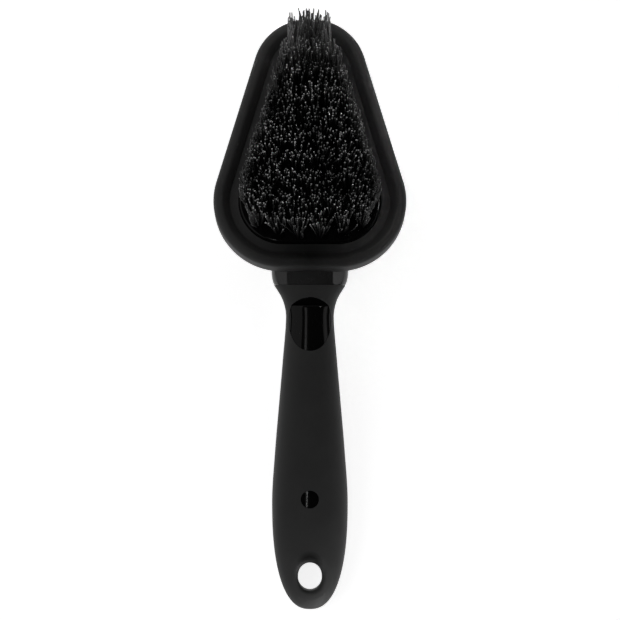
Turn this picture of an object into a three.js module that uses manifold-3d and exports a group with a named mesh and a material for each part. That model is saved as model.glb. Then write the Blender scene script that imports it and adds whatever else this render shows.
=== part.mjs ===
// Wheel brush for car wheels: a rigid moulded core that is head, neck and handle spine in one piece,
// a soft bumper moulded round the edge of the head, a soft grip moulded over the handle, and staple-set
// bristle tufts. Millimetres, +Z up. The brush lies on its back, bristles up and toe towards +Y.
import * as THREE from "three";
import { mergeVertices } from "three/addons/utils/BufferGeometryUtils.js";
import Module from "manifold-3d";

const wasm = await Module();
wasm.setup();

// ---------- driving dimensions ----------
const fitGap = 0.3; // air left between two moulded pieces

const head = {
  length: 124, // rim, heel to toe, along the face
  toeRadius: 27.2,
  toeHalfFlat: 0.4, // half the straight run across the toe
  heelRadius: 33,
  heelHalfFlat: 13.1,
  tilt: THREE.MathUtils.degToRad(12), // the face leans towards the toe
  arcSteps: 8, // facets in each corner of the outline
};
const platform = { inset: 12.2, height: 4.9, bevel: 1.0 }; // raised block that carries the tufts
const flange = { inset: 3.3, thickness: 3.0 }; // plate that the bumper grips
const dome = {
  inset: 9.6,
  depth: 16.5,
  floorScale: 0.3, // size of its flat bottom against its rim
  centre: 54, // the bottom shrinks towards this distance from the heel
  steps: 6,
  restCut: 2.0, // how much of it the rest plane shaves off
};
const bumper = {
  lipHeight: 1.6,
  lipWidth: 5.6,
  lipRound: 2.4,
  moatDepth: 2.4,
  moatSlope: 2.6, // how far the lip's inner side runs out into the moat
  underLip: 2.6,
  underRound: 1.8,
};

const palm = { fromButt: 52.5, halfWidth: 18.4, halfThickness: 12.6 }; // the thickest section
const handle = {
  length: 166.5, // rim heel to butt
  power: 2.3, // superellipse exponent of the section
  neckDrop: 16.9, // centreline below the face at the heel
  neckFall: THREE.MathUtils.degToRad(6), // slope of the neck inside the head
  neckReach: 30, // how far the neck runs on inside the head
  waist: 23.3, // distance of the narrowest section from the rim heel
  footFromButt: 27.8, // where the underside rests
  footCut: 0.8,
  archPower: 1.3,
  buttPower: 2.4,
  buttAngle: THREE.MathUtils.degToRad(88.5), // just short of 90, so that the butt ends in a small flat
  frontSteps: 20,
  buttSteps: 8,
  facets: 28,
};
const palmPlace = handle.length - palm.fromButt;
// [distance behind the rim heel, half width, half thickness] of the neck and the front of the handle
const handleStations = [
  [-handle.neckReach, 13.5, 7.4],
  [-8, 18.3, 8.9],
  [0, 18.6, 9.3],
  [5, 18.3, 9.3],
  [8.2, 17.3, 9.2],
  [12.7, 14.4, 9.1],
  [17.1, 12.5, 9.0],
  [handle.waist, 11.5, 9.0],
  [THREE.MathUtils.lerp(handle.waist, palmPlace, 0.22), 13.0, 9.7],
  [THREE.MathUtils.lerp(handle.waist, palmPlace, 0.45), 14.8, 11.0],
  [THREE.MathUtils.lerp(handle.waist, palmPlace, 0.72), 16.9, 12.0],
  [palmPlace, palm.halfWidth, palm.halfThickness],
];
const grip = { start: 8.2, wall: 2.5 };
const thumbWindow = {
  shoulderHalf: 8.7, // half width at the two upper corners
  shoulder: 17.7, // distance of those corners from the rim heel
  crown: 14,
  bottom: 39.7,
  sideHandle: 11.8, // half width of the control points that belly the sides out
  sideHandleAt: 0.3, // their place between the shoulder and the bottom
  bottomHandle: 10.3,
  padStart: 18.5, // the glossy pad begins here, behind an open crescent
  sink: 0.9, // pad surface below the grip
};
const lookHole = { fromButt: 55.4, radius: 4.35, sink: 1.2 }; // round shut-off that shows the core
const hangHole = { fromButt: 17.2, halfWidth: 5.8, halfLength: 7.2, lining: 2.4, facets: 24 };

const tufts = {
  perRow: [6, 7, 7, 6, 6, 5, 5, 4, 4, 3], // the most in each row, heel to toe
  edge: 4.1, // hole centres inside the platform's outline
  heelBow: -5.4, // how far the middle of the heel row lies behind its ends
  toeBow: 3.6,
  holeRadius: 2.15,
  rootRadius: 1.9,
  tipRadius: 3.5,
  tipGap: 1.2, // least air between the tips of two neighbours
  seat: 6.0, // root length below the face
  length: 30, // above the face
  sideSplay: THREE.MathUtils.degToRad(3.5),
  toeLean: THREE.MathUtils.degToRad(20),
  leanPower: 7, // only the last rows lean
  crownDrop: 2.0, // how much shorter the outer tufts are trimmed
  facets: 8,
};

const far = 400; // reaches past the brush in any direction

// ---------- solids ----------
function toSolid(geometry) {
  const bare = geometry.index ? geometry.toNonIndexed() : geometry.clone();
  bare.deleteAttribute("normal");
  bare.deleteAttribute("uv");
  const weld = 1e-4;
  const merged = mergeVertices(bare, weld);
  const solid = new wasm.Manifold(
    new wasm.Mesh({
      numProp: 3,
      vertProperties: merged.attributes.position.array,
      triVerts: new Uint32Array(merged.index.array),
    }),
  );
  if (solid.volume() <= 0) throw new Error("a solid is empty or inside out");
  return solid;
}

function toGeometry(solid) {
  const mesh = solid.getMesh();
  const stride = mesh.numProp;
  const positions = new Float32Array(mesh.numVert * 3);
  for (let i = 0; i < mesh.numVert; i++) {
    positions.set(mesh.vertProperties.subarray(i * stride, i * stride + 3), i * 3);
  }
  const geometry = new THREE.BufferGeometry();
  geometry.setAttribute("position", new THREE.BufferAttribute(positions, 3));
  geometry.setIndex(new THREE.BufferAttribute(new Uint32Array(mesh.triVerts), 1));
  geometry.computeVertexNormals();
  return geometry;
}

// Joins rings of equal point count into a skin, either capped at both ends or closed into a loop.
function skin(rings, closed = false) {
  const count = rings[0].length;
  const positions = rings.flat().flatMap((p) => [p.x, p.y, p.z]);
  const indices = [];
  const bands = closed ? rings.length : rings.length - 1;
  for (let r = 0; r < bands; r++) {
    const a = r * count;
    const b = ((r + 1) % rings.length) * count;
    for (let i = 0; i < count; i++) {
      const j = (i + 1) % count;
      indices.push(a + i, a + j, b + j, a + i, b + j, b + i);
    }
  }
  if (!closed) {
    const last = (rings.length - 1) * count;
    for (let i = 1; i < count - 1; i++) {
      indices.push(0, i + 1, i);
      indices.push(last, last + i, last + i + 1);
    }
  }
  const geometry = new THREE.BufferGeometry();
  geometry.setAttribute("position", new THREE.Float32BufferAttribute(positions, 3));
  geometry.setIndex(indices);
  return geometry;
}

function boxSolid(low, high) {
  const size = new THREE.Vector3().subVectors(high, low);
  const centre = new THREE.Vector3().addVectors(low, high).multiplyScalar(0.5);
  const geometry = new THREE.BoxGeometry(size.x, size.y, size.z);
  return toSolid(geometry.translate(centre.x, centre.y, centre.z));
}

// An upright prism of a plan outline, from one height to another.
function prism(shape, low, high, curveSegments = 10) {
  const geometry = new THREE.ExtrudeGeometry(shape, {
    depth: high - low,
    bevelEnabled: false,
    curveSegments,
  });
  return toSolid(geometry.translate(0, 0, low));
}

// ---------- head outline ----------
// The outline is the tangent hull of four circles. Each sample keeps its circle's centre and normal,
// so an inset outline is the same list with smaller radii.
const outline = (() => {
  const toeCentre = new THREE.Vector2(head.toeHalfFlat, head.length - head.toeRadius);
  const heelCentre = new THREE.Vector2(head.heelHalfFlat, head.heelRadius);
  const run = new THREE.Vector2().subVectors(toeCentre, heelCentre);
  const lean = Math.acos((head.heelRadius - head.toeRadius) / run.length());
  const side = run.angle() - lean; // direction of the straight side's normal
  const samples = [];
  const arc = (centre, radius, from, to, mirror) => {
    for (let k = 0; k <= head.arcSteps; k++) {
      const angle = THREE.MathUtils.lerp(from, to, k / head.arcSteps);
      samples.push({
        x: mirror * centre.x,
        y: centre.y,
        radius,
        nx: mirror * Math.cos(angle),
        ny: Math.sin(angle),
      });
    }
  };
  arc(heelCentre, head.heelRadius, -Math.PI / 2, side, 1);
  arc(toeCentre, head.toeRadius, side, Math.PI / 2, 1);
  arc(toeCentre, head.toeRadius, Math.PI / 2, side, -1);
  arc(heelCentre, head.heelRadius, side, -Math.PI / 2, -1);
  return samples;
})();

function outlineRing(inset, height) {
  return outline.map(
    (s) =>
      new THREE.Vector3(
        s.x + s.nx * (s.radius - inset),
        s.y + s.ny * (s.radius - inset),
        height,
      ),
  );
}

// Half width of the inset outline at a distance from the heel.
function halfWidthAt(y, inset) {
  const ring = outlineRing(inset, 0).filter((p) => p.x >= 0);
  for (let i = 1; i < ring.length; i++) {
    const [a, b] = [ring[i - 1], ring[i]];
    if (a.y <= y && y <= b.y && b.y > a.y) {
      return THREE.MathUtils.mapLinear(y, a.y, b.y, a.x, b.x);
    }
  }
  throw new Error("no outline at that distance");
}

// ---------- head, in its own frame: face at height 0, heel at the origin ----------
const flangeTop = -platform.height;
const flangeBottom = flangeTop - flange.thickness;

function domeRing(fraction) {
  const angle = (fraction * Math.PI) / 2;
  const scale = THREE.MathUtils.lerp(dome.floorScale, 1, Math.cos(angle));
  const height = flangeBottom - dome.depth * Math.sin(angle);
  return outlineRing(dome.inset, height).map(
    (p) => new THREE.Vector3(p.x * scale, dome.centre + (p.y - dome.centre) * scale, p.z),
  );
}

function headBlank() {
  const rings = [
    outlineRing(platform.inset + platform.bevel, 0),
    outlineRing(platform.inset, -platform.bevel),
    outlineRing(platform.inset, flangeTop),
    outlineRing(flange.inset, flangeTop),
    outlineRing(flange.inset, flangeBottom),
  ];
  for (let k = 0; k <= dome.steps; k++) rings.push(domeRing(k / dome.steps));
  return toSolid(skin(rings.reverse()));
}

// Points of a round corner in a section of [inset, height]; 180 degrees points outwards, 90 up.
function corner(inset, height, radius, from, to, steps = 3) {
  return Array.from({ length: steps + 1 }, (_, k) => {
    const angle = THREE.MathUtils.degToRad(THREE.MathUtils.lerp(from, to, k / steps));
    return [inset + radius * Math.cos(angle), height + radius * Math.sin(angle)];
  });
}

function bumperBlank() {
  const { lipHeight, lipWidth, lipRound, moatDepth, moatSlope, underLip, underRound } = bumper;
  const platformSide = platform.inset - fitGap;
  const webBottom = flangeTop + fitGap;
  const slotWall = flange.inset - fitGap;
  const slotBottom = flangeBottom - fitGap;
  const under = slotBottom - underLip;
  const underInner = dome.inset - fitGap;
  // clockwise seen with the rim's outer edge on the left
  const section = [
    ...corner(lipRound, lipHeight - lipRound, lipRound, 180, 90),
    ...corner(lipWidth - lipRound, lipHeight - lipRound, lipRound, 90, 0),
    [lipWidth + moatSlope, -moatDepth],
    [platformSide, -moatDepth],
    [platformSide, webBottom],
    [slotWall, webBottom],
    [slotWall, slotBottom],
    [underInner, slotBottom],
    ...corner(underInner - underRound, under + underRound, underRound, 0, -90, 2),
    ...corner(underRound, under + underRound, underRound, -90, -180, 2),
  ];
  return toSolid(skin(section.map(([inset, height]) => outlineRing(inset, height)), true));
}

// The head's place: tilted towards the toe, low enough for the rest plane to shave a flat on its back.
const headMatrix = (() => {
  const matrix = new THREE.Matrix4().makeRotationX(-head.tilt);
  const lowest = Math.min(
    ...Array.from({ length: dome.steps + 1 }, (_, k) => domeRing(k / dome.steps))
      .flat()
      .map((p) => p.applyMatrix4(matrix).z),
  );
  return matrix.setPosition(0, 0, -dome.restCut - lowest);
})();
const placeHead = (solid) => solid.transform(headMatrix.elements);
const heelHeight = headMatrix.elements[14];

// ---------- handle ----------
const widthCurve = new THREE.CatmullRomCurve3(
  handleStations.map(([y, halfWidth, halfThickness]) => new THREE.Vector3(halfWidth, -y, halfThickness)),
);

function archHeight(y) {
  const neck = heelHeight - handle.neckDrop;
  const foot = handle.length - handle.footFromButt;
  const along = (-y - handle.waist) / (foot - handle.waist);
  const reach = (palm.fromButt - handle.footFromButt) / palm.fromButt;
  const footHeight = palm.halfThickness * Math.sqrt(1 - reach * reach) - handle.footCut;
  if (along <= 0) return neck - Math.max(y, 0) * Math.tan(handle.neckFall);
  return THREE.MathUtils.lerp(neck, footHeight, Math.pow(along, handle.archPower));
}

function sectionRing(y, halfWidth, halfThickness, centre) {
  return Array.from({ length: handle.facets }, (_, k) => {
    const angle = (k / handle.facets) * 2 * Math.PI;
    const c = Math.cos(angle);
    const s = Math.sin(angle);
    const reach = Math.pow(
      Math.abs(c) ** handle.power + Math.abs(s) ** handle.power,
      -1 / handle.power,
    );
    return new THREE.Vector3(halfWidth * c * reach, y, centre + halfThickness * s * reach);
  });
}

// The whole handle with its neck, shrunk all round by the inset.
function handleBody(inset) {
  const rings = [];
  for (let k = 0; k <= handle.frontSteps; k++) {
    const p = widthCurve.getPoint(k / handle.frontSteps);
    rings.push(sectionRing(p.y, p.x - inset, p.z - inset, archHeight(p.y)));
  }
  const reach = palm.fromButt - inset;
  for (let k = 1; k <= handle.buttSteps; k++) {
    const u = Math.sin((k / handle.buttSteps) * handle.buttAngle);
    const place = -palmPlace - u * reach;
    rings.push(
      sectionRing(
        place,
        (palm.halfWidth - inset) * Math.pow(1 - u ** handle.buttPower, 1 / handle.buttPower),
        (palm.halfThickness - inset) * Math.sqrt(1 - u * u),
        archHeight(place),
      ),
    );
  }
  return toSolid(skin(rings));
}

const restPlane = () => boxSolid(new THREE.Vector3(-far, -far, -far), new THREE.Vector3(far, far, 0));

function windowShape(inset) {
  const w = thumbWindow;
  const corner = w.shoulderHalf - inset;
  const top = -w.crown - inset;
  const side = w.sideHandle - inset;
  const sideEnd = -THREE.MathUtils.lerp(w.shoulder, w.bottom, w.sideHandleAt);
  const bottom = -w.bottom + inset;
  const shape = new THREE.Shape();
  shape.moveTo(-corner, -w.shoulder);
  shape.quadraticCurveTo(-corner / 2, top, 0, top);
  shape.quadraticCurveTo(corner / 2, top, corner, -w.shoulder);
  shape.bezierCurveTo(side, sideEnd, w.bottomHandle, bottom, 0, bottom);
  shape.bezierCurveTo(-w.bottomHandle, bottom, -side, sideEnd, -corner, -w.shoulder);
  return shape;
}

// An upright oval prism in the handle, placed by its distance from the butt.
function ovalPrism(fromButt, halfWidth, halfLength, low = -far) {
  const shape = new THREE.Shape();
  shape.absellipse(0, fromButt - handle.length, halfWidth, halfLength, 0, 2 * Math.PI, false, 0);
  return prism(shape, low, far, hangHole.facets / 2);
}

function hangPrism(margin) {
  return ovalPrism(hangHole.fromButt, hangHole.halfWidth + margin, hangHole.halfLength + margin);
}

// The round shut-off, from the middle of the handle upwards.
function lookPrism(radius) {
  return ovalPrism(lookHole.fromButt, radius, radius, archHeight(lookHole.fromButt - handle.length));
}

// ---------- tufts, in the head's frame ----------
// Rows run across the head and bow with its ends. A shorter or narrower head takes fewer tufts.
const tuftPlaces = (() => {
  const inset = platform.inset + tufts.edge;
  const pitch = 2 * tufts.tipRadius + tufts.tipGap;
  const heelEnd = inset - tufts.heelBow;
  const toeEnd = head.length - inset - tufts.toeBow;
  const rows = Math.min(tufts.perRow.length, Math.floor((toeEnd - heelEnd) / pitch) + 1);
  const places = [];
  tufts.perRow.slice(-rows).forEach((most, row) => {
    const along = row / (rows - 1);
    const y = THREE.MathUtils.lerp(heelEnd, toeEnd, along);
    const bow = THREE.MathUtils.lerp(tufts.heelBow, tufts.toeBow, along);
    const half = halfWidthAt(y, inset);
    const count = Math.min(most, Math.floor((2 * half) / pitch) + 1);
    for (let i = 0; i < count; i++) {
      const across = (2 * i) / (count - 1) - 1;
      const origin = new THREE.Vector3(across * half, y + bow * (1 - across * across), 0);
      const lean = tufts.toeLean * Math.pow(along, tufts.leanPower);
      const sideways = tufts.sideSplay * across * (half / halfWidthAt(head.heelRadius, inset));
      const axis = new THREE.Vector3(Math.tan(sideways), Math.tan(lean), 1).normalize();
      const edgeward = Math.max(Math.abs(across), Math.abs(2 * along - 1));
      const length = tufts.length - tufts.crownDrop * edgeward * edgeward;
      places.push({ origin, axis, length });
    }
  });
  return places;
})();

function alongAxis(geometry, place) {
  const turn = new THREE.Quaternion().setFromUnitVectors(new THREE.Vector3(0, 0, 1), place.axis);
  return geometry.rotateX(Math.PI / 2).applyQuaternion(turn).translate(...place.origin);
}

function tuftHole(place) {
  const bottom = -tufts.seat - fitGap;
  const top = tufts.holeRadius; // clears the face however the tuft leans
  const { holeRadius, facets } = tufts;
  const geometry = new THREE.CylinderGeometry(holeRadius, holeRadius, top - bottom, facets);
  return toSolid(alongAxis(geometry.translate(0, (top + bottom) / 2, 0), place));
}

function tuftSolid(place) {
  const profile = [
    [0, -tufts.seat],
    [tufts.rootRadius, -tufts.seat],
    [tufts.rootRadius, 0],
    [tufts.tipRadius, place.length],
    [0, place.length],
  ].map(([radius, height]) => new THREE.Vector2(radius, height));
  return toSolid(alongAxis(new THREE.LatheGeometry(profile, tufts.facets), place));
}

// ---------- pieces ----------
function coreSolid() {
  const seamInCore = -grip.start + fitGap;
  const neck = handleBody(0).intersect(
    boxSolid(new THREE.Vector3(-far, seamInCore, -far), new THREE.Vector3(far, far, far)),
  );
  const spine = handleBody(grip.wall + fitGap);
  const pad = handleBody(thumbWindow.sink)
    .intersect(prism(windowShape(fitGap), heelHeight - handle.neckDrop, far))
    .subtract(
      boxSolid(new THREE.Vector3(-far, -thumbWindow.padStart, -far), new THREE.Vector3(far, far, far)),
    );
  const eye = handleBody(lookHole.sink).intersect(lookPrism(lookHole.radius - fitGap));
  let core = placeHead(headBlank()).add(neck).add(spine).add(pad).add(eye);
  core = core.subtract(hangPrism(hangHole.lining + fitGap));
  for (const place of tuftPlaces) core = core.subtract(placeHead(tuftHole(place)));
  return core.subtract(restPlane());
}

function bumperSolid() {
  const neckClearance = handleBody(-fitGap);
  return placeHead(bumperBlank()).subtract(neckClearance).subtract(restPlane());
}

function gripSolid() {
  const sleeve = handleBody(0).subtract(
    boxSolid(new THREE.Vector3(-far, -grip.start, -far), new THREE.Vector3(far, far, far)),
  );
  const cavity = handleBody(grip.wall).subtract(hangPrism(hangHole.lining));
  return sleeve
    .subtract(cavity)
    .subtract(prism(windowShape(0), heelHeight - handle.neckDrop, far))
    .subtract(lookPrism(lookHole.radius))
    .subtract(hangPrism(0))
    .subtract(restPlane());
}

// ---------- materials ----------
const glossyPlastic = new THREE.MeshStandardMaterial({
  color: 0x0a0a0b,
  roughness: 0.15,
  metalness: 0,
});
const softRubber = new THREE.MeshStandardMaterial({ color: 0x1b1b1c, roughness: 0.7, metalness: 0 });
const gripRubber = new THREE.MeshStandardMaterial({ color: 0x202021, roughness: 0.62, metalness: 0 });
const bristleFibre = new THREE.MeshStandardMaterial({ color: 0x0d0d0d, roughness: 0.4, metalness: 0 });

function piece(name, solid, material) {
  const mesh = new THREE.Mesh(toGeometry(solid), material);
  mesh.name = name;
  return mesh;
}

// ---------- assembly ----------
const brush = new THREE.Group();
brush.add(
  piece("brush_core", coreSolid(), glossyPlastic),
  piece("head_bumper", bumperSolid(), softRubber),
  piece("handle_grip", gripSolid(), gripRubber),
);
tuftPlaces.forEach((place, index) => {
  const name = "bristle_tuft_" + String(index + 1).padStart(2, "0");
  brush.add(piece(name, placeHead(tuftSolid(place)), bristleFibre));
});

// The origin is under the middle of the whole brush, on the plane that it rests on.
const bounds = new THREE.Box3().setFromObject(brush);
const middle = bounds.getCenter(new THREE.Vector3());
brush.position.set(-middle.x, -middle.y, -bounds.min.z);

export default brush;
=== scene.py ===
# Wheel brush: the looks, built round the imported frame, in metres.
# The brush lies on its back: bristles point up (+Z) and the toe of the head points along +Y.
import math
import random

import bpy
import numpy as np
from mathutils import Matrix, Vector, noise


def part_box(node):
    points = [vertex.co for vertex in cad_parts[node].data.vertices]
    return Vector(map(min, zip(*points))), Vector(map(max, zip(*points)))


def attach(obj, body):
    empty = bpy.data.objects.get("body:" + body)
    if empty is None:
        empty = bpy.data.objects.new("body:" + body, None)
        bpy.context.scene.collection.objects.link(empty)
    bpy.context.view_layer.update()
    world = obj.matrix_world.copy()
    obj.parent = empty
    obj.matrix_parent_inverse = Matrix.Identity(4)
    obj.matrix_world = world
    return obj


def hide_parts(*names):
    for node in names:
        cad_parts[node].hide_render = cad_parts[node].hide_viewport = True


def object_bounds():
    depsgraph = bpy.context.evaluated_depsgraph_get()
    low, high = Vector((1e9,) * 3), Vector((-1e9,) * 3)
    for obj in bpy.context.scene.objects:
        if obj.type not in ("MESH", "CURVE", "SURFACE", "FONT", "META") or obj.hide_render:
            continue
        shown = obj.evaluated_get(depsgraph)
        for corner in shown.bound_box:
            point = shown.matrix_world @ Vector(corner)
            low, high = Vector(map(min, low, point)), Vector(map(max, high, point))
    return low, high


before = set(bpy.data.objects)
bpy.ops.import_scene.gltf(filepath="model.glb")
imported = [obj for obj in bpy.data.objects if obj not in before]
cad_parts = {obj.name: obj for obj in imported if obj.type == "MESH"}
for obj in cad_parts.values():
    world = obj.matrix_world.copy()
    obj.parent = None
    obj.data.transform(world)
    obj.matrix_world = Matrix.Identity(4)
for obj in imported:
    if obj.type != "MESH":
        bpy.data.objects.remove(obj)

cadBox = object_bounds()
mm = 0.001
randomSeed = 7


# small helpers for working by hand

def startFresh():
    if bpy.context.object and bpy.context.object.mode != "OBJECT":
        bpy.ops.object.mode_set(mode="OBJECT")
    bpy.ops.object.select_all(action="DESELECT")


def pickOnly(piece):
    startFresh()
    bpy.context.view_layer.objects.active = piece
    piece.select_set(True)


def editOnly(piece):
    pickOnly(piece)
    bpy.ops.object.mode_set(mode="EDIT")


def namePiece(name):
    if bpy.context.object.mode != "OBJECT":
        bpy.ops.object.mode_set(mode="OBJECT")
    piece = bpy.context.object
    piece.name = name
    piece.data.name = name
    return piece


def bakePlace(piece, extra=Matrix.Identity(4)):
    # puts the object's place into its mesh
    piece.data.transform(extra @ piece.matrix_world)
    piece.matrix_world = Matrix.Identity(4)
    return piece


def selectFaces(piece, wanted):
    # leaves edit mode on, with just the wanted faces selected
    editOnly(piece)
    bpy.ops.mesh.select_mode(type="FACE")
    bpy.ops.mesh.select_all(action="DESELECT")
    bpy.ops.object.mode_set(mode="OBJECT")
    for face in piece.data.polygons:
        face.select = wanted(face)
    bpy.ops.object.mode_set(mode="EDIT")


def applyModifier(piece, kind, **settings):
    pickOnly(piece)
    modifier = piece.modifiers.new(kind.lower(), kind)
    for key, value in settings.items():
        setattr(modifier, key, value)
    bpy.ops.object.modifier_apply(modifier=modifier.name)
    return piece


def combine(piece, tool, operation):
    # the tool is used up
    applyModifier(piece, "BOOLEAN", operation=operation, object=tool, solver="EXACT")
    bpy.data.objects.remove(tool)
    return piece


def smoothFinish(piece, degrees):
    pickOnly(piece)
    bpy.ops.mesh.customdata_custom_splitnormals_clear()
    bpy.ops.object.shade_smooth_by_angle(angle=math.radians(degrees), keep_sharp_edges=False)
    return piece


def softenCorners(piece, wanted, repeat):
    # rubs down the chosen corners of a fine mesh
    editOnly(piece)
    bpy.ops.mesh.select_mode(type="VERT")
    bpy.ops.mesh.select_all(action="DESELECT")
    bpy.ops.object.mode_set(mode="OBJECT")
    for corner in piece.data.vertices:
        corner.select = wanted(corner.co)
    bpy.ops.object.mode_set(mode="EDIT")
    bpy.ops.mesh.vertices_smooth(factor=0.5, repeat=repeat)
    bpy.ops.object.mode_set(mode="OBJECT")


def meltPiece(piece, voxel, smooth):
    # runs the surface together, then evens it out
    applyModifier(piece, "REMESH", mode="VOXEL", voxel_size=voxel * mm, use_smooth_shade=True)
    applyModifier(piece, "SMOOTH", factor=0.5, iterations=smooth)


def extrudeBy(step):
    bpy.ops.mesh.extrude_region_move(TRANSFORM_OT_translate={"value": step})


def blockBetween(name, low, high):
    # a plain cutting block, corners in metres
    startFresh()
    middle = [(a + b) / 2 for a, b in zip(low, high)]
    size = [b - a for a, b in zip(low, high)]
    bpy.ops.mesh.primitive_cube_add(size=1, location=middle, scale=size)
    return bakePlace(namePiece(name))


def cutFlat(piece):
    # shaves the underside off flat where the brush rests
    return combine(piece, blockBetween("table", (-1, -1, -1), (1, 1, 0)), "DIFFERENCE")


# the head's outline and its place

head = {
    "length": 124,  # millimetres here and in the other dictionaries
    "toeRadius": 27.2,
    "toeHalfFlat": 0.4,
    "heelRadius": 33,
    "heelHalfFlat": 13.1,
    "tiltDegrees": 12,
    "roundSteps": 144,
}
block = {"inset": 12.2, "height": 4.9, "bevel": 1.0, "bevelSteps": 4}
flange = {"inset": 3.3, "thickness": 3.0}
backDome = {"inset": 9.6, "depth": 16.5, "floorScale": 0.3, "centre": 54, "steps": 14}
softRim = {
    "lipHeight": 1.6,
    "lipWidth": 5.6,
    "lipRound": 2.4,
    "moatDepth": 2.4,
    "moatSlope": 2.6,
    "moatRound": 0.8,
    "underLip": 2.6,
    "underRound": 1.8,
    "roundSteps": 6,
    "skin": 0.06,
    "lipEnd": 38,  # the lip's inner round runs out into the moat's slope at this angle
}
fitGap = 0.3
handleLength = 166.5

tilt = math.radians(head["tiltDegrees"])
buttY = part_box("handle_grip")[0].y
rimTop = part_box("head_bumper")[1].z
lipPeak = softRim["lipHeight"] * math.cos(tilt) - softRim["lipRound"] * math.sin(tilt)
heelY = buttY + handleLength * mm
heelZ = rimTop - lipPeak * mm
headPlace = Matrix.Translation((0, heelY, heelZ)) @ Matrix.Rotation(-tilt, 4, "X")
flangeTop = -block["height"]
flangeBottom = flangeTop - flange["thickness"]


def outlineBlock(name, inset, low, high):
    # four discs, wrapped: the outline of the head, made smaller by the inset
    startFresh()
    discs = [
        (head["toeHalfFlat"], head["length"] - head["toeRadius"], head["toeRadius"]),
        (head["heelHalfFlat"], head["heelRadius"], head["heelRadius"]),
    ]
    first = True
    for across, along, radius in discs:
        for side in (-1, 1):
            bpy.ops.mesh.primitive_cylinder_add(
                vertices=head["roundSteps"],
                radius=(radius - inset) * mm,
                depth=(high - low) * mm,
                location=(side * across * mm, along * mm, (low + high) / 2 * mm),
            )
            if first:
                bakePlace(bpy.context.object)
                bpy.ops.object.mode_set(mode="EDIT")
                first = False
    bpy.ops.mesh.select_all(action="SELECT")
    bpy.ops.mesh.convex_hull()
    bpy.ops.mesh.select_all(action="SELECT")
    bpy.ops.mesh.dissolve_limited(angle_limit=math.radians(0.5))
    return namePiece(name)


def roundOver(radius, fromDegrees, toDegrees, steps):
    # steps (inward, outward) that walk round a quarter circle; 180 is the outside edge, 90 the top
    walk = []
    for k in range(steps):
        a = math.radians(fromDegrees + (toDegrees - fromDegrees) * k / steps)
        b = math.radians(fromDegrees + (toDegrees - fromDegrees) * (k + 1) / steps)
        inward = radius * (math.cos(b) - math.cos(a))
        outward = radius * (math.sin(b) - math.sin(a))
        walk.append((inward, outward))
    return walk


def walkFace(piece, facingUp, steps):
    # insets and lifts the end face step by step, so its edge follows a profile
    sign = 1 if facingUp else -1
    selectFaces(piece, lambda face: face.normal.z * sign > 0.99)
    for inward, outward in steps:
        bpy.ops.mesh.inset(thickness=max(inward, 0) * mm, depth=outward * mm)
    bpy.ops.object.mode_set(mode="OBJECT")
    return piece


# the handle's form, shared by the grip, the spine and the pads

handle = {
    "power": 2.3,  # above 2 the section is a little squarer than an ellipse
    "neckDrop": 16.9,
    "neckFall": 6,  # degrees
    "neckReach": 30,
    "waist": 23.3,
    "footFromButt": 27.8,
    "footCut": 0.8,
    "archPower": 1.3,
    "buttPower": 2.4,
    "sideSteps": 72,
    "loopGap": 2.4,
    "buttLoops": 22,
    "buttEnd": 88.5,  # degrees of the last quarter turn, just short of a point
}
palm = {"fromButt": 52.5, "halfWidth": 18.4, "halfThickness": 12.6}
palmAt = handleLength - palm["fromButt"]


def alongNeck(share):
    return handle["waist"] + share * (palmAt - handle["waist"])


# distance behind the rim's heel, half width, half thickness
handleStations = [
    (-handle["neckReach"], 13.5, 7.4),
    (-8, 18.3, 8.9),
    (0, 18.6, 9.3),
    (5, 18.3, 9.3),
    (8.2, 17.3, 9.2),
    (12.7, 14.4, 9.1),
    (17.1, 12.5, 9.0),
    (handle["waist"], 11.5, 9.0),
    (alongNeck(0.22), 13.0, 9.7),
    (alongNeck(0.45), 14.8, 11.0),
    (alongNeck(0.72), 16.9, 12.0),
    (palmAt, palm["halfWidth"], palm["halfThickness"]),
]


def smoothSize(distance, column):
    # a smooth curve through the stations
    points = [(s[0], s[column]) for s in handleStations]
    slopes = []
    for k in range(len(points)):
        before, after = points[max(k - 1, 0)], points[min(k + 1, len(points) - 1)]
        slopes.append((after[1] - before[1]) / (after[0] - before[0]))
    slopes[-1] = 0
    for k in range(len(points) - 1):
        (x0, y0), (x1, y1) = points[k], points[k + 1]
        if distance <= x1:
            span = x1 - x0
            t = (distance - x0) / span
            return (
                (2 * t**3 - 3 * t**2 + 1) * y0
                + (t**3 - 2 * t**2 + t) * span * slopes[k]
                + (3 * t**2 - 2 * t**3) * y1
                + (t**3 - t**2) * span * slopes[k + 1]
            )
    return points[-1][1]


def archHeight(distance):
    neck = heelZ / mm - handle["neckDrop"]
    foot = handleLength - handle["footFromButt"]
    along = (distance - handle["waist"]) / (foot - handle["waist"])
    if along <= 0:
        return neck + min(distance, 0) * math.tan(math.radians(handle["neckFall"]))
    reach = (palm["fromButt"] - handle["footFromButt"]) / palm["fromButt"]
    footHeight = palm["halfThickness"] * math.sqrt(1 - reach**2) - handle["footCut"]
    return neck + (footHeight - neck) * along ** handle["archPower"]


def handleLoops(inset):
    loops = []
    count = round((palmAt + handle["neckReach"]) / handle["loopGap"])
    for k in range(count + 1):
        distance = -handle["neckReach"] + (palmAt + handle["neckReach"]) * k / count
        loops.append((distance, smoothSize(distance, 1) - inset, smoothSize(distance, 2) - inset))
    for k in range(1, handle["buttLoops"] + 1):
        u = math.sin(math.radians(handle["buttEnd"]) * k / handle["buttLoops"])
        distance = palmAt + u * (palm["fromButt"] - inset)
        power = handle["buttPower"]
        width = (palm["halfWidth"] - inset) * (1 - u**power) ** (1 / power)
        loops.append((distance, width, (palm["halfThickness"] - inset) * math.sqrt(1 - u * u)))
    return loops


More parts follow.
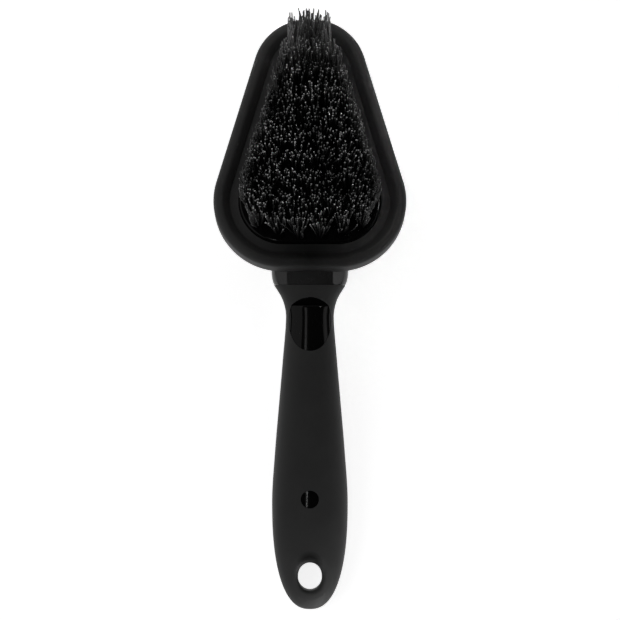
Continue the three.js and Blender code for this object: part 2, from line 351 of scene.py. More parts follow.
def handleForm(name, inset):
    # one round section, pulled along the handle loop by loop
    startFresh()
    loops = handleLoops(inset)
    bpy.ops.mesh.primitive_circle_add(
        vertices=handle["sideSteps"], radius=1, fill_type="NGON", rotation=(math.pi / 2, 0, 0)
    )
    form = bakePlace(namePiece(name))
    distance, width, thickness = loops[0]
    place = Vector((0, heelY - distance * mm, archHeight(distance) * mm))
    for corner in form.data.vertices:
        across, up = corner.co.x, corner.co.z
        reach = (abs(across) ** handle["power"] + abs(up) ** handle["power"]) ** (-1 / handle["power"])
        corner.co = place + Vector((across * reach * width, 0, up * reach * thickness)) * mm
    editOnly(form)
    bpy.ops.mesh.select_all(action="SELECT")
    for nextDistance, nextWidth, nextThickness in loops[1:]:
        nextPlace = Vector((0, heelY - nextDistance * mm, archHeight(nextDistance) * mm))
        extrudeBy(nextPlace - place)
        bpy.ops.transform.resize(
            value=(nextWidth / width, 1, nextThickness / thickness), center_override=nextPlace
        )
        place, width, thickness = nextPlace, nextWidth, nextThickness
    bpy.ops.mesh.select_all(action="SELECT")
    bpy.ops.mesh.normals_make_consistent(inside=False)
    return namePiece(name)


# openings in the grip

grip = {"start": 8.2, "wall": 2.5, "seamGap": 0.12}
thumbWindow = {
    "shoulderHalf": 8.7,
    "shoulder": 17.7,
    "crown": 14,
    "bottom": 39.7,
    "sideHandle": 11.8,
    "sideHandleAt": 0.3,
    "bottomHandle": 10.3,
    "padStart": 17.3,
    "padGap": 0.06,
    "padSmooth": 30,
    "padReach": 4,
    "sink": 0.12,
    "recessFloor": 1.5,
}
lookHole = {
    "fromButt": 55.4,
    "radius": 4.35,
    "sink": 1.2,
    "steps": 64,
    "eyeRound": 19,
    "eyeSteps": 256,
    "eyeLength": 12,
    "eyeGap": 0.3,
}
hangHole = {
    "fromButt": 17.2,
    "halfWidth": 5.8,
    "halfLength": 7.2,
    "lining": 2.4,
    "steps": 72,
    "draft": 0.45,  # over the whole cutter, so about a millimetre through the grip
    "draftMiddle": 0.13,
}
tall = 60 * mm  # cutters reach past the brush


def windowPost(name, inset):
    # the shield outline as a curve, pulled up into a post that starts at the handle's centreline
    w = thumbWindow
    corner = w["shoulderHalf"] - inset
    crown = w["crown"] + inset
    bottom = w["bottom"] - inset
    side = w["sideHandle"] - inset
    sideAt = w["shoulder"] + (w["bottom"] - w["shoulder"]) * w["sideHandleAt"]
    # point, handle before it, handle after it
    rise = crown + (w["shoulder"] - crown) / 3
    knots = [
        ((-corner, w["shoulder"]), (-side, sideAt), (-corner * 2 / 3, rise)),
        ((0, crown), (-corner / 3, crown), (corner / 3, crown)),
        ((corner, w["shoulder"]), (corner * 2 / 3, rise), (side, sideAt)),
        ((0, bottom), (w["bottomHandle"], bottom), (-w["bottomHandle"], bottom)),
    ]
    startFresh()
    bpy.ops.curve.primitive_bezier_circle_add(radius=1)
    post = bpy.context.object
    post.data.dimensions = "2D"
    post.data.fill_mode = "BOTH"
    post.data.resolution_u = 24
    post.data.extrude = tall / 2

    def spot(pair):
        return Vector((pair[0] * mm, heelY - pair[1] * mm, 0))

    for point, (at, before, after) in zip(post.data.splines[0].bezier_points, knots):
        point.handle_left_type = point.handle_right_type = "FREE"
        point.co, point.handle_left, point.handle_right = spot(at), spot(before), spot(after)
    post.location.z = archHeight(w["shoulder"]) * mm + tall / 2
    bpy.ops.object.convert(target="MESH")
    post = bakePlace(namePiece(name))
    editOnly(post)
    bpy.ops.mesh.select_all(action="SELECT")
    bpy.ops.mesh.remove_doubles(threshold=1e-6)
    bpy.ops.mesh.normals_make_consistent(inside=False)
    return namePiece(name)


def ovalPost(name, fromButt, halfWidth, halfLength, steps, low=-tall):
    startFresh()
    bpy.ops.mesh.primitive_cylinder_add(
        vertices=steps,
        radius=1,
        depth=tall - low,
        location=(0, buttY + fromButt * mm, (tall + low) / 2),
        scale=(halfWidth * mm, halfLength * mm, 1),
    )
    return bakePlace(namePiece(name))


def hangPost(name, margin):
    halfWidth, halfLength = hangHole["halfWidth"] + margin, hangHole["halfLength"] + margin
    return ovalPost(name, hangHole["fromButt"], halfWidth, halfLength, hangHole["steps"])


def draftedHangPost(name):
    # the hole opens a little downwards, as a moulder's core pin does
    post = hangPost(name, 0)
    middle = Vector((0, buttY + hangHole["fromButt"] * mm, 0))
    for up, wider in ((True, 1 - hangHole["draft"]), (False, 1 + hangHole["draft"])):
        selectFaces(post, lambda face: face.normal.z > 0.9 if up else face.normal.z < -0.9)
        middle.z = tall if up else -tall
        widen = wider + hangHole["draftMiddle"]
        bpy.ops.transform.resize(value=(widen, widen, 1), center_override=middle)
        bpy.ops.object.mode_set(mode="OBJECT")
    return post


def lookPost(name, margin):
    radius = lookHole["radius"] - margin
    low = archHeight(handleLength - lookHole["fromButt"]) * mm
    return ovalPost(name, lookHole["fromButt"], radius, radius, lookHole["steps"], low)


# rigid core

def headBlock(name, gap):
    # tuft block and flange; with a gap it is the tool that hollows the soft rim
    body = outlineBlock(name, flange["inset"] - gap, flangeBottom - gap, flangeTop + gap)
    top = 8 if gap else 0
    bevel = 0 if gap else block["bevel"]
    raised = outlineBlock("raised", block["inset"] - gap, flangeTop - 1, top - bevel)
    if bevel:
        walkFace(raised, True, roundOver(bevel, 180, 90, block["bevelSteps"]))
    return combine(body, raised, "UNION")


def domeForm(name):
    # the back of the head: the flange's underside drawn in and down
    dome = outlineBlock(name, backDome["inset"], flangeBottom, flangeBottom + 1)
    selectFaces(dome, lambda face: face.normal.z < -0.99)
    depth, scale = 0, 1
    for k in range(1, backDome["steps"] + 1):
        angle = math.pi / 2 * k / backDome["steps"]
        nextDepth = backDome["depth"] * math.sin(angle)
        nextScale = backDome["floorScale"] + (1 - backDome["floorScale"]) * math.cos(angle)
        extrudeBy((0, 0, (depth - nextDepth) * mm))
        ratio = nextScale / scale
        bpy.ops.transform.resize(
            value=(ratio, ratio, 1), center_override=(0, backDome["centre"] * mm, 0)
        )
        depth, scale = nextDepth, nextScale
    bpy.ops.object.mode_set(mode="OBJECT")
    return dome


melt = {
    "margin": 3,  # melted stock past a seam, cut away again so that the seam's edge stays crisp
    "backVoxel": 0.8,
    "backSmooth": 6,
    "padVoxel": 0.4,
    "padSmooth": 4,
}
broadFlat = 40  # square millimetres; faces larger than this stay flat in the light
collar = {"flatHalf": 11, "drop": 1.6, "sideFall": 28}  # flat top with a slope down each side


def facetCollar(body):
    # the collar between the head and the grip has a flat top and two sloped cheeks
    top = archHeight(0) + smoothSize(0, 2) - collar["drop"]
    startY, endY = heelY - grip["start"] * mm, heelY + 2 * mm
    reach = 30 * mm
    above = blockBetween("collarTop", (-reach, startY, top * mm), (reach, endY, top * mm + reach))
    combine(body, above, "DIFFERENCE")
    for side in (-1, 1):
        cheek = blockBetween("collarCheek", (-reach, startY, 0), (reach, endY, reach))
        turn = Matrix.Rotation(side * math.radians(collar["sideFall"]), 4, "Y")
        edge = Matrix.Translation((side * collar["flatHalf"] * mm, 0, top * mm))
        bakePlace(cheek, edge @ turn)
        combine(body, cheek, "DIFFERENCE")
    return body


def makeBackAndNeck(name):
    # dome and neck, melted together so that the neck grows out of the head's back
    back = domeForm(name)
    bakePlace(back, headPlace)
    neck = handleForm("neck", 0)
    roughEnd = heelY - (grip["start"] + melt["margin"]) * mm
    combine(neck, blockBetween("neckEnd", (-1, roughEnd, -1), (1, 1, 1)), "INTERSECT")
    combine(back, neck, "UNION")
    meltPiece(back, melt["backVoxel"], melt["backSmooth"])
    seam = heelY - (grip["start"] - grip["seamGap"]) * mm
    combine(back, blockBetween("neckCut", (-1, seam, -1), (1, 1, 1)), "INTERSECT")
    return facetCollar(back)


def makeEye():
    # the window of polished core in the look hole, rounder than the grip about it
    radius = lookHole["eyeRound"] * mm
    height = archHeight(handleLength - lookHole["fromButt"]) + palm["halfThickness"]
    top = (height - lookHole["sink"]) * mm
    startFresh()
    bpy.ops.mesh.primitive_cylinder_add(
        vertices=lookHole["eyeSteps"],
        radius=radius,
        depth=lookHole["eyeLength"] * mm,
        location=(0, buttY + lookHole["fromButt"] * mm, top - radius),
        rotation=(math.pi / 2, 0, 0),
    )
    eye = bakePlace(namePiece("roundEye"))
    return combine(eye, lookPost("eyeEdge", lookHole["eyeGap"]), "INTERSECT")


def makeCore(tuftPlaces):
    core = makeBackAndNeck("rigidCore")
    combine(core, bakePlace(headBlock("tuftBlock", 0), headPlace), "UNION")
    combine(core, handleForm("spine", grip["wall"] + fitGap), "UNION")

    padStart = heelY - thumbWindow["padStart"] * mm
    recess = windowPost("recess", fitGap)
    recessFloor = (archHeight(thumbWindow["padStart"]) + thumbWindow["recessFloor"]) * mm
    front = blockBetween("recessFront", (-1, padStart, recessFloor), (1, 1, 1))
    combine(recess, front, "INTERSECT")
    combine(core, recess, "DIFFERENCE")
    pad = handleForm("thumbPad", thumbWindow["sink"])
    combine(pad, windowPost("padStock", -melt["margin"]), "INTERSECT")
    combine(pad, blockBetween("padFront", (-1, padStart, -1), (1, 1, 1)), "DIFFERENCE")
    meltPiece(pad, melt["padVoxel"], melt["padSmooth"])
    topEnd = padStart - thumbWindow["padReach"] * mm
    softenCorners(pad, lambda spot: spot.y > topEnd, thumbWindow["padSmooth"])
    combine(pad, windowPost("padEdge", thumbWindow["padGap"]), "INTERSECT")
    combine(core, pad, "UNION")

    combine(core, makeEye(), "UNION")

    combine(core, hangPost("hangCut", hangHole["lining"] + fitGap), "DIFFERENCE")
    combine(core, tuftHoles(tuftPlaces), "DIFFERENCE")
    cutFlat(core)
    smoothFinish(core, 25)
    for face in core.data.polygons:
        if face.area > broadFlat * mm * mm:
            face.use_smooth = False
    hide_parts("brush_core")
    return core


# soft rim

def makeSoftRim():
    s = softRim
    slotBottom = flangeBottom - fitGap
    under = slotBottom - s["underLip"]
    rim = outlineBlock("softRim", s["skin"], under + s["underRound"], s["lipHeight"] - s["lipRound"])
    steps = s["roundSteps"]
    drop = s["lipHeight"] - s["lipRound"] + s["moatDepth"]
    up = roundOver(s["lipRound"], 180, 90, steps)
    up += [(s["lipWidth"] - 2 * s["lipRound"], 0)]
    up += roundOver(s["lipRound"], 90, s["lipEnd"], steps)
    dropLeft = math.sin(math.radians(s["lipEnd"]))
    widthLeft = s["lipRound"] * (1 - math.cos(math.radians(s["lipEnd"])))
    slopeFall = -drop + s["moatRound"] - dropLeft * s["lipRound"]
    up += [(s["moatSlope"] - s["moatRound"] + widthLeft, slopeFall)]
    up += [(s["moatRound"] * 0.3, -s["moatRound"] * 0.7), (s["moatRound"] * 0.7, -s["moatRound"] * 0.3)]
    walkFace(rim, True, up)
    wall = backDome["inset"] - fitGap
    down = roundOver(s["underRound"], 180, 90, steps)
    down += [(wall - 2 * s["underRound"], 0)]
    down += roundOver(s["underRound"], 90, 0, steps)
    down += [(0.1, s["underRound"] - s["underLip"] - 0.2)]
    walkFace(rim, False, down)
    combine(rim, headBlock("rimHollow", fitGap), "DIFFERENCE")
    bakePlace(rim, headPlace)
    combine(rim, handleForm("neckRoom", -fitGap), "DIFFERENCE")
    smoothFinish(rim, 40)
    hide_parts("head_bumper")
    return rim


# soft grip

gripSkin = {"voxel": 0.45, "allOverSmooth": 3, "rimSmooth": 110, "rimReach": 4.4}


def softenRims(piece):
    # rounds over the mouths of the hang hole only, where a thumb and a hook rub
    centre = Vector((0, buttY + hangHole["fromButt"] * mm, 0))
    reachX = (hangHole["halfWidth"] + gripSkin["rimReach"]) * mm
    reachY = (hangHole["halfLength"] + gripSkin["rimReach"]) * mm

    def nearMouth(spot):
        away = spot - centre
        return (away.x / reachX) ** 2 + (away.y / reachY) ** 2 < 1

    softenCorners(piece, nearMouth, gripSkin["rimSmooth"])


def makeGrip():
    sleeve = handleForm("softGrip", 0)
    roughStart = heelY - (grip["start"] - melt["margin"]) * mm
    combine(sleeve, blockBetween("roughEnd", (-1, roughStart, -1), (1, 1, 1)), "DIFFERENCE")
    combine(sleeve, draftedHangPost("hangCut"), "DIFFERENCE")
    meltPiece(sleeve, gripSkin["voxel"], gripSkin["allOverSmooth"])
    softenRims(sleeve)
    start = heelY - grip["start"] * mm
    combine(sleeve, blockBetween("gripEnd", (-1, start, -1), (1, 1, 1)), "DIFFERENCE")
    combine(sleeve, windowPost("windowCut", 0), "DIFFERENCE")
    combine(sleeve, lookPost("lookCut", 0), "DIFFERENCE")
    cavity = handleForm("cavity", grip["wall"])
    combine(cavity, hangPost("lining", hangHole["lining"]), "DIFFERENCE")
    combine(sleeve, cavity, "DIFFERENCE")
    cutFlat(sleeve)
    smoothFinish(sleeve, 50)
    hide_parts("handle_grip")
    return sleeve


# bristles

filament = {
    "diameter": 0.6,
    "sides": 5,
    "loops": 6,
    "perTuft": 36,
    "rootRadius": 1.75,
    "tipSpread": 5.6,
    "tipShake": 1.3,
    "fieldInset": 12.6,  # tips stay inside the head's outline by this much
    "dimEdge": 6,  # strands this near the edge of the field get a dimmer painted highlight on their cut ends and painted light on their sides
    "toeDim": 5,
    "toeGrey": 92,  # towards the toe from here the strands' sides get painted light, so they turn greyer
    "clump": 8,  # size of the brighter and darker patches
    "toeHalf": 10.3,  # half width of the brush of strands that passes the toe
    "ragged": 1.1,
    "heelTrim": 20,  # behind this the heel rows are left as they fan out
    "toeMargin": 0.4,
    "rootDepth": 3.0,
    "lengthSpread": 1.6,
    "lengthShake": 0.45,
    "wave": 0.45,
    "ripple": 0.12,
    "spinShake": 0.5,
    "fanPower": 0.55,
    "fanShake": 0.3,
    "fanDrop": 0.12,  # a strand that leans out ends lower
    "tuckIn": 0.35,
    "patchMiddle": 0.62,
    "patchDepth": 1.3,
}
goldenTurn = 2.39996


def tuftEnds(node):
    # middle of the root disc and of the tip disc of a packed tuft
    up = headPlace.to_3x3() @ Vector((0, 0, 1))
    corners = [v.co.copy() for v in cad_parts[node].data.vertices]
    heights = [c.dot(up) for c in corners]
    low, high = min(heights), max(heights)
    reach = 3 * mm

    def middle(near):
        close = [c for c, h in zip(corners, heights) if abs(h - near) < reach]
        return sum(close, Vector()) / len(close)

    return middle(low), middle(high)


tuftNodes = sorted(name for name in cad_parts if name.startswith("bristle_tuft"))
tuftPlaces = [tuftEnds(name) for name in tuftNodes]
tuftHole = {"radius": 2.15, "depth": 6.3, "seat": 6.0, "steps": 20}


def axisTurn(direction):
    return direction.to_track_quat("Z", "Y").to_matrix().to_4x4()


def copyToTufts(model, places, name):
    # a copy of the model at every tuft, joined as one piece; the model is used up
    copies = []
    for root, tip in places:
        copy = bpy.data.objects.new(name + "Copy", model.data.copy())
        bpy.context.scene.collection.objects.link(copy)
        copy.data.transform(Matrix.Translation(root) @ axisTurn((tip - root).normalized()))
        copies.append(copy)
    bpy.data.objects.remove(model)
    startFresh()
    for copy in copies:
        copy.select_set(True)
    bpy.context.view_layer.objects.active = copies[0]
    bpy.ops.object.join()
    return namePiece(name)


def tuftHoles(places):
    # one drill, copied to every tuft
    startFresh()
    depth = (tuftHole["depth"] + 4) * mm
    bpy.ops.mesh.primitive_cylinder_add(
        vertices=tuftHole["steps"],
        radius=tuftHole["radius"] * mm,
        depth=depth,
        location=(0, 0, depth / 2 - (tuftHole["depth"] - tuftHole["seat"]) * mm),
    )
    return copyToTufts(bakePlace(namePiece("drill")), places, "tuftHoles")


anchor = {
    "length": 3.3,
    "height": 1.5,
    "thickness": 0.35,
    "tip": 0.25,
    "tipScale": 0.6,
    "under": 3.1,
    "bevel": 0.06,
}


def makeAnchors(places):
    # the flat metal anchor that pins each tuft down its hole, modelled once and copied
    startFresh()
    middleZ = (anchor["under"] - anchor["height"] / 2) * mm
    bpy.ops.mesh.primitive_cube_add(
        size=1,
        location=(0, 0, middleZ),
        scale=(anchor["length"] * mm, anchor["thickness"] * mm, anchor["height"] * mm),
    )
    model = bakePlace(namePiece("modelAnchor"))
    for side in (-1, 1):
        selectFaces(model, lambda face: face.normal.x * side > 0.9)
        extrudeBy((side * anchor["tip"] * mm, 0, 0))
        end = (side * (anchor["length"] / 2 + anchor["tip"]) * mm, 0, middleZ)
        bpy.ops.transform.resize(
            value=(1, anchor["tipScale"], anchor["tipScale"]), center_override=end
        )
        bpy.ops.object.mode_set(mode="OBJECT")
    applyModifier(model, "BEVEL", width=anchor["bevel"] * mm, segments=2)
    anchors = smoothFinish(copyToTufts(model, places, "tuftAnchors"), 30)
    return anchors


def modelFilament():
    # one straight strand, one unit long, its cut end slightly domed
    startFresh()
    radius = filament["diameter"] / 2 * mm
    bpy.ops.mesh.primitive_cylinder_add(
        vertices=filament["sides"], radius=radius, depth=1 / filament["loops"],
        location=(0, 0, 0.5 / filament["loops"]), end_fill_type="NGON",
    )
    strand = bakePlace(namePiece("modelFilament"))
    selectFaces(strand, lambda face: face.normal.z > 0.9)
    for k in range(1, filament["loops"]):
        extrudeBy((0, 0, 1 / filament["loops"]))
    bpy.ops.mesh.inset(thickness=radius * 0.35)
    bpy.ops.object.mode_set(mode="OBJECT")
    return strand


def fieldHalfWidth(along):
    # half width of the trimmed field at a distance from the heel, in millimetres
    widest = filament["toeHalf"]
    for k in range(25):
        share = k / 24
        centreX = head["heelHalfFlat"] + (head["toeHalfFlat"] - head["heelHalfFlat"]) * share
        centreY = head["heelRadius"] + (head["length"] - head["toeRadius"] - head["heelRadius"]) * share
        radius = head["heelRadius"] + (head["toeRadius"] - head["heelRadius"]) * share
        radius -= filament["fieldInset"]
        if abs(along - centreY) < radius:
            widest = max(widest, centreX + math.sqrt(radius**2 - (along - centreY) ** 2))
    return widest


def trimmed(end, tuftPlace, raggedness):
    # brings a tip that strays over the side back inside the field, not quite in line with the others
    spot = headPlace.inverted() @ tuftPlace @ end
    limit = (fieldHalfWidth(max(spot.y / mm, filament["heelTrim"])) - raggedness) * mm
    if abs(spot.x) > limit:
        spot.x = math.copysign(limit - filament["tuckIn"] * (abs(spot.x) - limit), spot.x)
    inPlace = headPlace @ spot
    inPlace.y = min(inPlace.y, cadBox[1][1] - filament["toeMargin"] * mm)
    return tuftPlace.inverted() @ inPlace


def plantTuft(name, node, root, tip, strand, dice):
    # copies of the model strand, fanned out of one hole and bent a little, as one mesh
    axis = (tip - root).normalized()
    tuftPlace = Matrix.Translation(root) @ axisTurn(axis)
    length = (tip - root).length
    rootZ = tuftHole["seat"] * mm - filament["rootDepth"] * mm
    corners = np.array([v.co for v in strand.data.vertices])
    faces = [list(face.vertices) for face in strand.data.polygons]
    points, polygons, tones, alongs, edges = [], [], [], [], []
    for k in range(filament["perTuft"]):
        # sunflower packing, shaken
        share = (k + 0.5) / filament["perTuft"]
        spin = k * goldenTurn + dice.uniform(-filament["spinShake"], filament["spinShake"])
        rootOut = math.sqrt(share) * filament["rootRadius"] * mm
        fanOut = share ** filament["fanPower"] * filament["tipSpread"]
        tipOut = (fanOut + dice.gauss(0, filament["tipShake"])) * mm
        tipSpin = spin + dice.gauss(0, filament["fanShake"])
        start = Vector((math.cos(spin) * rootOut, math.sin(spin) * rootOut, rootZ))
        end = Vector((math.cos(tipSpin) * tipOut, math.sin(tipSpin) * tipOut, 0))
        drop = end.xy.length * filament["fanDrop"]
        shorter = abs(dice.gauss(0, filament["lengthShake"])) * filament["lengthSpread"] * mm
        end.z = length - shorter - drop
        end = trimmed(end, tuftPlace, abs(dice.gauss(0, filament["ragged"])))
        bow = Vector((dice.gauss(0, 1), dice.gauss(0, 1), 0)) * filament["wave"] * mm
        swing = dice.uniform(0, math.tau)
        along = corners[:, 2:3]
        side = corners[:, :2]
        curve = np.array(start) * (1 - along) + np.array(end) * along
        fan = np.sin(along * math.pi) * np.array(bow)
        sway = np.array([math.cos(swing), math.sin(swing), 0])
        ripple = np.sin(along * 9 + swing) * along * sway * filament["ripple"] * mm
        lifted = curve + fan + ripple
        lifted[:, :2] += side
        base = len(points) * len(corners)
        points.append(lifted)
        polygons += [[base + i for i in face] for face in faces]
        spot = headPlace.inverted() @ tuftPlace @ end / mm
        fromSide = fieldHalfWidth(max(spot.y, filament["heelTrim"])) - abs(spot.x)
        fromEdge = min(fromSide, head["length"] - filament["toeDim"] - spot.y)
        edgeShare = min(max(fromEdge / filament["dimEdge"], 0), 1)
        toeShare = min(max((spot.y - filament["toeGrey"]) / filament["toeDim"] / 3, 0), 1)
        cloud = noise.noise(spot / filament["clump"])
        patch = filament["patchMiddle"] + filament["patchDepth"] * cloud
        # the tone sets the strength of the painted highlight on the cut end: random, in patches, and
        # dimmer near the field's edge
        tone = dice.random() ** 1.3 * (0.12 + 0.88 * edgeShare) * min(max(patch, 0.1), 1)
        tones += [tone] * len(corners)
        alongs += list(along[:, 0])
        # painted light on the sides of strands near the field's edge and towards the toe; the inner
        # strands stay black as painted shade
        edges += [max((1 - edgeShare) * 0.5, toeShare)] * len(corners)
    mesh = bpy.data.meshes.new(name)
    placed = np.vstack(points)
    mesh.from_pydata(placed.tolist(), [], polygons)
    mesh.transform(tuftPlace)
    for label, values in (("strandTone", tones), ("strandAlong", alongs), ("strandEdgeLight", edges)):
        layer = mesh.attributes.new(label, "FLOAT", "POINT")
        layer.data.foreach_set("value", np.array(values, dtype=np.float32))
    tuft = bpy.data.objects.new(name, mesh)
    bpy.context.scene.collection.objects.link(tuft)
    smoothFinish(tuft, 60)
    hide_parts(node)
    return tuft


# materials

class Amount:
    # a number that varies over a surface: plain arithmetic on it adds Math nodes

    def __init__(self, finish, socket):
        self.finish = finish
        self.socket = socket

    def combine(self, operation, *terms):
        sockets = {k: t.socket if isinstance(t, Amount) else t for k, t in enumerate(terms)}
        node = self.finish.add("ShaderNodeMath", {"operation": operation}, sockets)
        return Amount(self.finish, node.outputs[0])

    def __add__(self, other):
        return self.combine("ADD", self, other)

    def __radd__(self, other):
        return self.combine("ADD", other, self)

    def __sub__(self, other):
        return self.combine("SUBTRACT", self, other)

    def __rsub__(self, other):
        return self.combine("SUBTRACT", other, self)

    def __mul__(self, other):
        return self.combine("MULTIPLY", self, other)

    def __rmul__(self, other):
        return self.combine("MULTIPLY", other, self)

    def __truediv__(self, other):
        return self.combine("DIVIDE", self, other)

    def __pow__(self, other):
        return self.combine("POWER", self, other)

    def over(self, level):
        return self.combine("GREATER_THAN", self, level)

    def clamped(self):
        made = self.combine("ADD", self, 0)
        made.socket.node.use_clamp = True
        return made


class Finish:
    # one material and the nodes that make it

    def __init__(self, name, **shader):
        self.material = bpy.data.materials.new(name)
        self.material.use_nodes = True
        self.tree = self.material.node_tree
        self.tree.nodes.clear()
        self.shader = self.add("ShaderNodeBsdfPrincipled", {}, shader)
        self.add("ShaderNodeOutputMaterial", {}, {"Surface": self.shader.outputs[0]})

    def add(self, kind, settings=None, sockets=None):
        node = self.tree.nodes.new(kind)
        for key, value in (settings or {}).items():
            setattr(node, key, value)
        for key, value in (sockets or {}).items():
            self.feed(node, key, value)
        return node

    def feed(self, node, key, value):
        value = value.socket if isinstance(value, Amount) else value
        if isinstance(value, bpy.types.NodeSocket):
            self.tree.links.new(value, node.inputs[key])
        else:
            node.inputs[key].default_value = value

    def amount(self, node, output=0):
        return Amount(self, node.outputs[output])

    def place(self):
        return self.add("ShaderNodeTexCoord").outputs["Object"]

    def speckle(self, size, detail=2.0, roughness=0.5, stretch=None):
        # noise whose grains are about that many millimetres wide
        vector = self.place()
        if stretch:
            vector = self.add("ShaderNodeMapping", {}, {"Vector": vector, "Scale": stretch}).outputs[0]
        sockets = {"Vector": vector, "Scale": 1 / (size * mm), "Detail": detail, "Roughness": roughness}
        node = self.add("ShaderNodeTexNoise", {}, sockets)
        return self.amount(node, "Fac" if "Fac" in node.outputs else 0)

    def stored(self, label):
        node = self.add("ShaderNodeAttribute", {"attribute_name": label})
        return self.amount(node, "Fac")

    def blend(self, share, first, second):
        node = self.add("ShaderNodeMix", {"data_type": "RGBA"}, {})
        self.feed(node, 0, share)
        self.feed(node, 6, first)
        self.feed(node, 7, second)
        return node.outputs[2]

    def bump(self, height, distance, strength=1.0):
        return self.add(
            "ShaderNodeBump", {}, {"Height": height, "Distance": distance * mm, "Strength": strength}
        ).outputs[0]


def grey(level, warm=0.0):
    return (level * (1 + warm), level, level * (1 - warm), 1)


def makeSoftTouch(name, tone, roughness, paintedShadeAt=None):
    # soft moulded rubber: very fine grain, faint cloudiness, a few pale dust specks, and where asked a
    # round patch of painted shade
    finish = Finish(name, **{"IOR": 1.47, "Specular IOR Level": 0.16})
    cloud = finish.speckle(14, 3)
    grain = finish.speckle(0.22, 2)
    dust = finish.speckle(0.8, 1).over(0.77)
    base = finish.blend(cloud, grey(tone * 0.85), grey(tone * 1.2))
    if paintedShadeAt:
        # painted shade: the base colour darkens towards the middle of a round patch, where shade falls
        along, reach, share = paintedShadeAt
        spot = finish.add("ShaderNodeSeparateXYZ", {}, {"Vector": finish.place()})
        across, up = finish.amount(spot, 0), finish.amount(spot, 1) - along
        away = (across * across + up * up) ** 0.5
        near = (1 - away / reach).clamped()
        base = finish.blend((near * share).clamped(), base, grey(tone * 0.1))
    finish.feed(finish.shader, "Base Color", finish.blend(dust * 0.12, base, grey(0.09)))
    finish.feed(finish.shader, "Roughness", (roughness - 0.06 + cloud * 0.12).clamped())
    finish.feed(finish.shader, "Normal", finish.bump(grain, 0.05, 0.35))
    return finish.material


def makeGloss(name, shine, roughness):
    # polished hard moulding with hairline scratches and the faint waviness of a mould
    finish = Finish(name, **{"IOR": 1.49, "Specular IOR Level": shine})
    scuff = finish.speckle(0.35, 3, 0.6, stretch=(6, 0.5, 1))
    wave = finish.speckle(9, 1)
    finish.feed(finish.shader, "Base Color", finish.blend(wave, grey(0.0015), grey(0.0025)))
    uneven = roughness + scuff.over(0.62) * 0.05 + wave * 0.03
    finish.feed(finish.shader, "Roughness", uneven.clamped())
    finish.feed(finish.shader, "Normal", finish.bump(wave, 0.04, 0.3))
    return finish.material


def makeBristle(name):
    # black nylon strands; the cut ends are paler, partly the trimmed end's own colour and partly a
    # painted highlight, with painted light and shade along the strands
    finish = Finish(name, **{"IOR": 1.5})
    along = finish.stored("strandAlong")
    tone = finish.stored("strandTone")
    cutEnd = along.over(0.995)
    # painted light: each strand turns paler towards its tip, standing in for light on the upper strands
    # and shade at the roots
    paintedTipLight = along ** 7 * (0.1 + 0.9 * tone)
    # painted shade and light on the strand sides: black inside the field, grey at its edges and towards
    # the toe
    sideShadeAndLight = finish.blend(finish.stored("strandEdgeLight"), grey(0.0025), grey(0.19))
    body = finish.blend(paintedTipLight, sideShadeAndLight, grey(0.32))
    # painted highlight on the cut ends, partly their own paler trim, as strong as the strand's tone
    pale = finish.blend(tone, grey(0.05), grey(0.95))
    finish.feed(finish.shader, "Base Color", finish.blend(cutEnd, body, pale))
    finish.feed(finish.shader, "Roughness", (0.36 + tone * 0.15 + cutEnd * 0.2).clamped())
    return finish.material


def makeMetal(name):
    finish = Finish(name, **{"Metallic": 1.0})
    brushed = finish.speckle(0.3, 3, 0.6, stretch=(1, 8, 1))
    finish.feed(finish.shader, "Base Color", finish.blend(brushed, grey(0.45), grey(0.62)))
    finish.feed(finish.shader, "Roughness", 0.3 + brushed * 0.2)
    return finish.material


def makeFloorFinish(name):
    # a lit white table: it glows softly, so only the deepest shadows show on it
    glow = {"Emission Strength": studio["floorGlow"], "Emission Color": grey(1)}
    finish = Finish(name, **{"Roughness": 0.9, **glow})
    paper = finish.speckle(30, 2)
    finish.feed(finish.shader, "Base Color", finish.blend(paper, grey(0.88), grey(0.92)))
    return finish.material


# building it

def dress(piece, *finishes):
    piece.data.materials.clear()
    for finish in finishes:
        piece.data.materials.append(finish)


print("stage: frame loaded,", len(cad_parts), "nodes")
dice = random.Random(randomSeed)
gloss = makeGloss("polishedBlack", shine=0.15, roughness=0.085)
satin = makeGloss("satinBlack", shine=0.5, roughness=0.21)
# the last argument gives the middle of a patch of painted shade along the brush, its reach and how dark
# it is
# painted shade over the heel of the soft rim
rimRubber = makeSoftTouch(
    "rimRubber", tone=0.052, roughness=0.6, paintedShadeAt=(heelY + 4 * mm, 38 * mm, 0.9)
)
# painted shade on the toe side of the hang hole, where the surface dips
gripRubber = makeSoftTouch(
    "gripRubber", tone=0.036, roughness=0.58, paintedShadeAt=(buttY + 24 * mm, 6.5 * mm, 2.2)
)
fibre = makeBristle("bristleFibre")

core = makeCore(tuftPlaces)
dress(core, gloss, satin)
for face in core.data.polygons:
    # the back and the collar are satin; the tuft block, the thumb pad and the round eye are polished
    belowBlock = (headPlace.inverted() @ face.center).z < (flangeTop - 0.01) * mm
    inHead = face.center.y > heelY - (grip["start"] - grip["seamGap"] / 2) * mm
    face.material_index = 1 if inHead and belowBlock else 0
print("stage: core,", len(core.data.polygons), "faces")
rim = makeSoftRim()
dress(rim, rimRubber)
print("stage: soft rim,", len(rim.data.polygons), "faces")
sleeve = makeGrip()
dress(sleeve, gripRubber)
print("stage: grip,", len(sleeve.data.polygons), "faces")
anchors = makeAnchors(tuftPlaces)
dress(anchors, makeMetal("anchorWire"))
print("stage: anchors,", len(anchors.data.polygons), "faces")
strand = modelFilament()
tufts = []
for number, (node, (root, tip)) in enumerate(zip(tuftNodes, tuftPlaces), 1):
    tuft = plantTuft("bristleTuft%02d" % number, node, root, tip, strand, dice)
    dress(tuft, fibre)
    tufts.append(tuft)
bpy.data.objects.remove(strand)
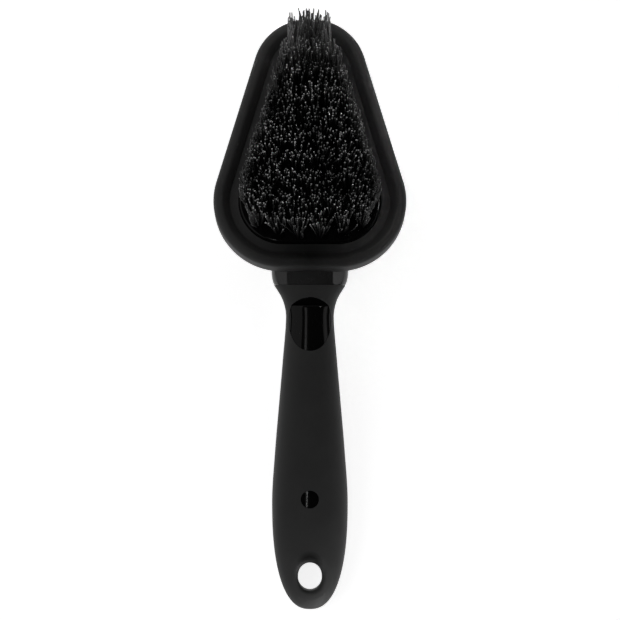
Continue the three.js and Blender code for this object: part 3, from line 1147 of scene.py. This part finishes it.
print("stage: tufts,", len(tufts), "of", len(tufts[0].data.polygons), "faces")
for piece in [core, rim, sleeve, anchors, *tufts]:
    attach(piece, "root")


# floor, light and camera

studio = {"floorSize": 6, "floorGap": 0.0005, "floorGlow": 0.78, "roomGlow": 0.04}  # metres
startFresh()
bpy.ops.mesh.primitive_plane_add(size=studio["floorSize"], location=(0, 0, -studio["floorGap"]))
floor = namePiece("floor")
bakePlace(floor)
floor.data.materials.append(makeFloorFinish("paleFloor"))


def addSoftbox(name, place, aim, size, power, spread=180):
    # place, aim and size in metres, power in watts, spread in degrees
    lamp = bpy.data.lights.new(name, "AREA")
    lamp.shape = "RECTANGLE"
    lamp.size, lamp.size_y = size
    lamp.energy = power
    lamp.spread = math.radians(spread)
    box = bpy.data.objects.new(name, lamp)
    bpy.context.scene.collection.objects.link(box)
    box.location = place
    box.visible_camera = False
    box.rotation_euler = (Vector(aim) - Vector(place)).to_track_quat("-Z", "Y").to_euler()
    return box


addSoftbox("leftBox", (-1.35, 0.2, 1.15), (0, 0, 0), (3.0, 2.0), 12.6)
addSoftbox("toeBox", (0.1, 1.35, 1.15), (0, 0, 0), (2.0, 1.0), 2.2)
addSoftbox("rightBox", (1.2, 0.1, 0.62), (0, 0, 0), (1.6, 0.5), 0.5)
addSoftbox("cheekCard", (0.9, 0.02, 0.6), (0, 0.02, 0.03), (0.4, 0.4), 0.45)
addSoftbox("buttCard", (0.12, -0.45, 0.03), (0.016, -0.155, 0.006), (0.12, 0.06), 0.019, 12)
addSoftbox("headLight", (0.6, 0.5, 1.0), (0.03, 0.105, 0.04), (0.1, 0.1), 0.014, 9)
addSoftbox("overheadStrip", (-0.23, -0.05, 1.5), (0, -0.05, 0), (0.7, 0.13), 0.5)
addSoftbox("padSpark", (-0.23, -0.21, 1.5), (0, -0.21, 0), (0.03, 0.03), 0.15)
world = bpy.data.worlds.new("studio")
bpy.context.scene.world = world
world.use_nodes = True
sky = world.node_tree.nodes["Background"]
sky.inputs["Color"].default_value = grey(1)
sky.inputs["Strength"].default_value = studio["roomGlow"]

view = {"distance": 1000, "span": 299.15, "centreX": 0.05, "centreY": 1.48, "height": 20}
lens = bpy.data.cameras.new("camera")
lens.sensor_width = 36
lens.lens = lens.sensor_width * view["distance"] / view["span"]
camera = bpy.data.objects.new("camera", lens)
bpy.context.scene.collection.objects.link(camera)
camera.location = Vector((view["centreX"], view["centreY"], view["height"] + view["distance"])) * mm
lens.clip_start, lens.clip_end = 0.05, 20
bpy.context.scene.camera = camera
bpy.context.scene.view_settings.view_transform = "Standard"

print("stage: done")
